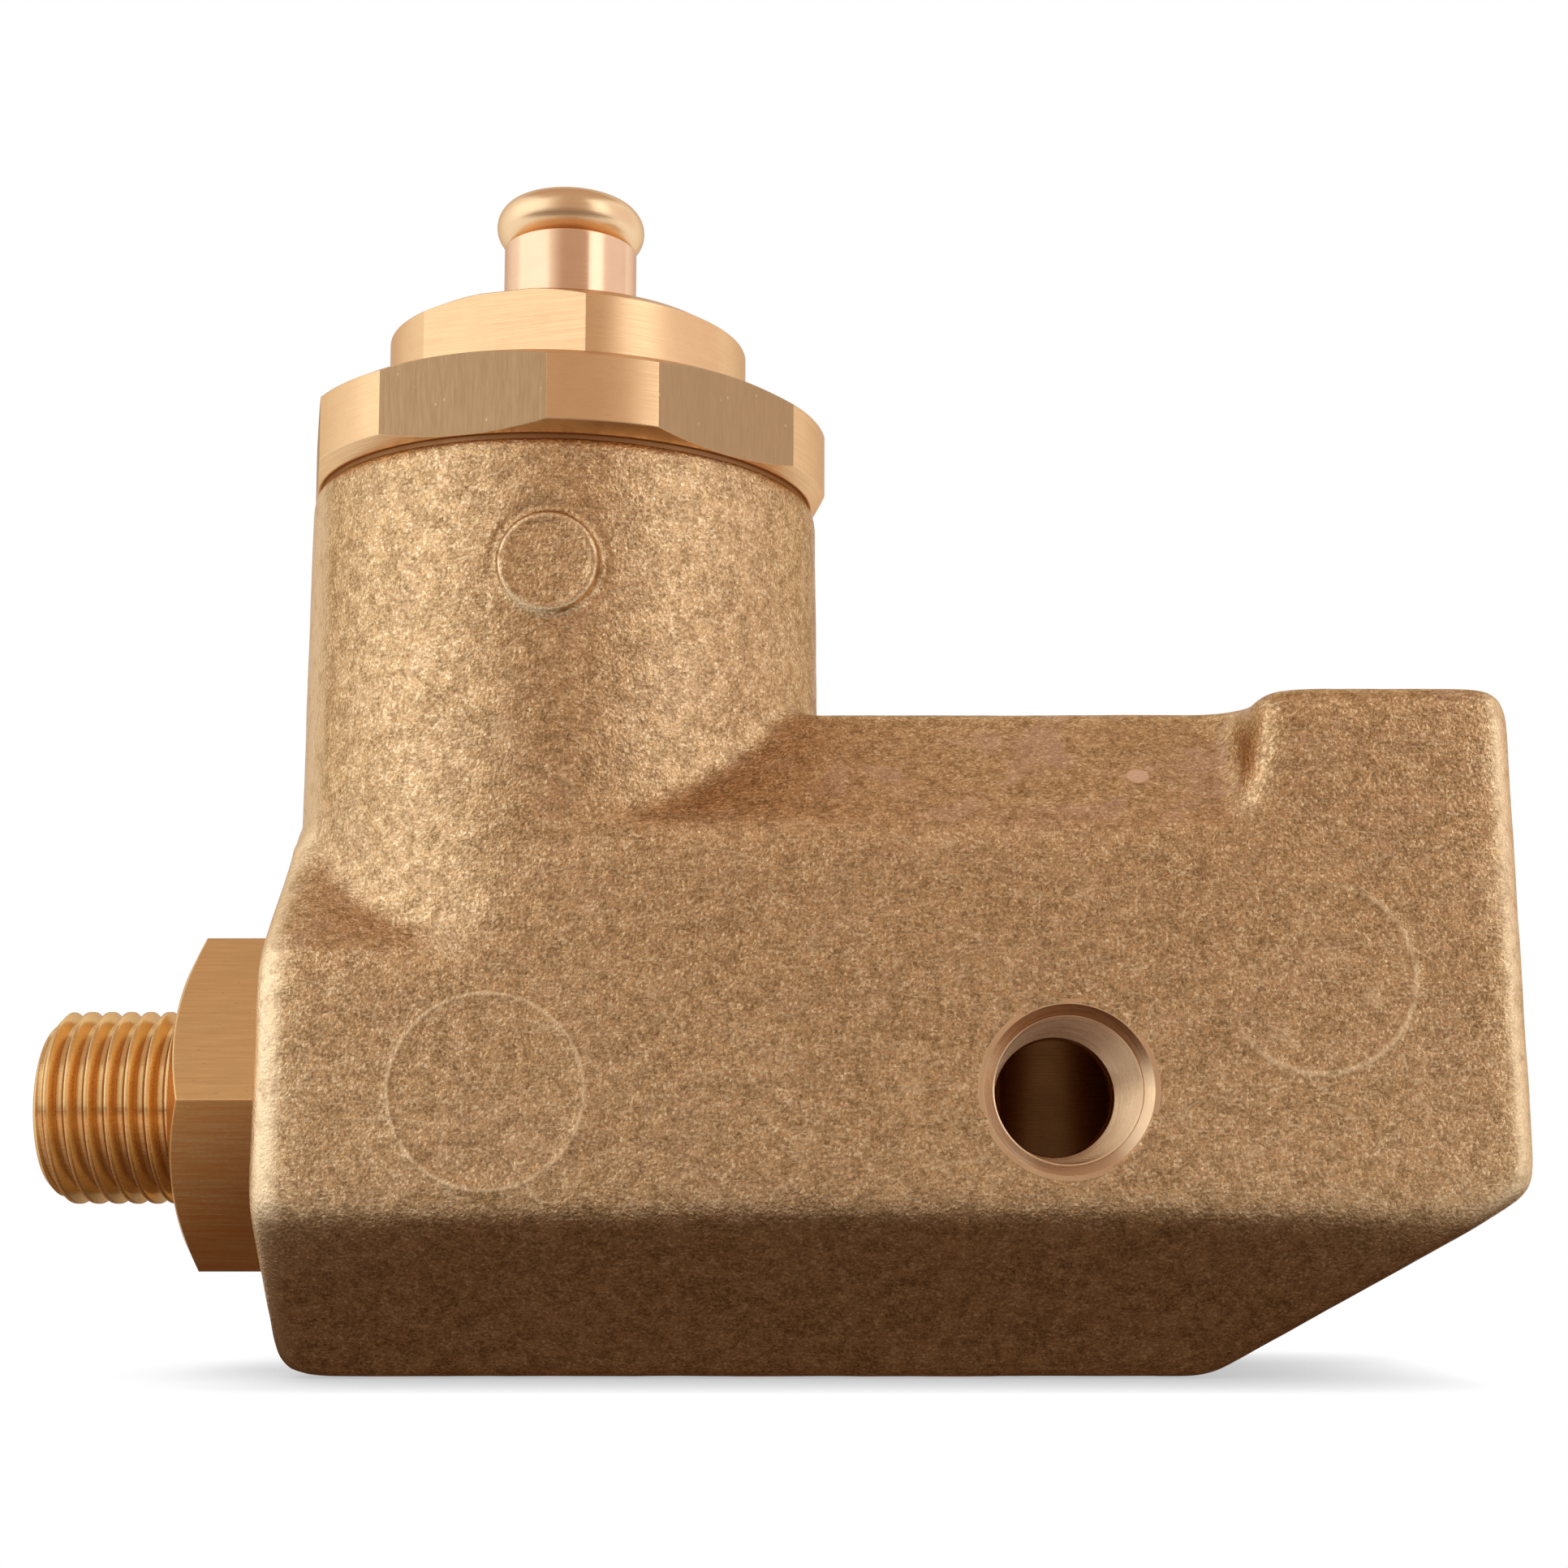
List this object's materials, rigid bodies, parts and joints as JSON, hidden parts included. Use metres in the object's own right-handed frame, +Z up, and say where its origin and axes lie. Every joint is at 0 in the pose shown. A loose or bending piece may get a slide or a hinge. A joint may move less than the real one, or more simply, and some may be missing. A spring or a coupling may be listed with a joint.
{
  "type": "pressure relief valve",
  "caption": "Cast brass relief valve: long block with an upright barrel, hexagon bonnet and lift spindle above, threaded inlet nipple at one end and a chamfered front port.",
  "frame": {"origin": "on the base, straight below the spindle axis", "axes": "+X runs towards the long end of the block, away from the inlet nipple; -Y is the face with the round port; +Z is up along the spindle"},
  "size_m": [0.0967, 0.0362, 0.0817],
  "materials": {
    "cast_brass": "blasted casting, dull with fine sparkle",
    "bar_brass": "turned and milled, satin",
    "nipple_brass": "drawn hexagon and cut thread, satin",
    "polished_brass": "polished",
    "copper_washer": "soft copper, dull",
    "spring_steel": "drawn stainless wire and stamped plate",
    "black_rubber": "moulded",
    "white_polymer": "machined"
  },
  "bodies": {
    "valve": {"valve_body": "cast_brass", "inlet_nipple": "nipple_brass", "nipple_washer": "copper_washer", "bonnet": "bar_brass", "seat_ring": "bar_brass", "seat_o_ring": "black_rubber", "relief_spring": "spring_steel", "upper_spring_plate": "spring_steel", "setting_shim": "spring_steel", "bonnet_o_ring": "black_rubber", "spindle_o_ring": "black_rubber", "gland_washer": "white_polymer", "spindle_bush": "bar_brass", "bush_circlip": "spring_steel"},
    "spindle": {"lift_spindle": "polished_brass", "poppet": "bar_brass", "guide_ring": "white_polymer", "seat_disc": "black_rubber", "disc_washer": "bar_brass", "disc_nut": "bar_brass", "spindle_lock_nut": "bar_brass", "lower_spring_plate": "spring_steel"}
  },
  "joints": [
    {"name": "spindle_lift", "type": "slide", "parent": "valve", "child": "spindle", "axis": [0, 0, 1], "range_m": [0, 0.003], "stiffness_N_per_m": 11300, "springref_m": -0.008, "deforming": ["relief_spring"]}
  ]
}
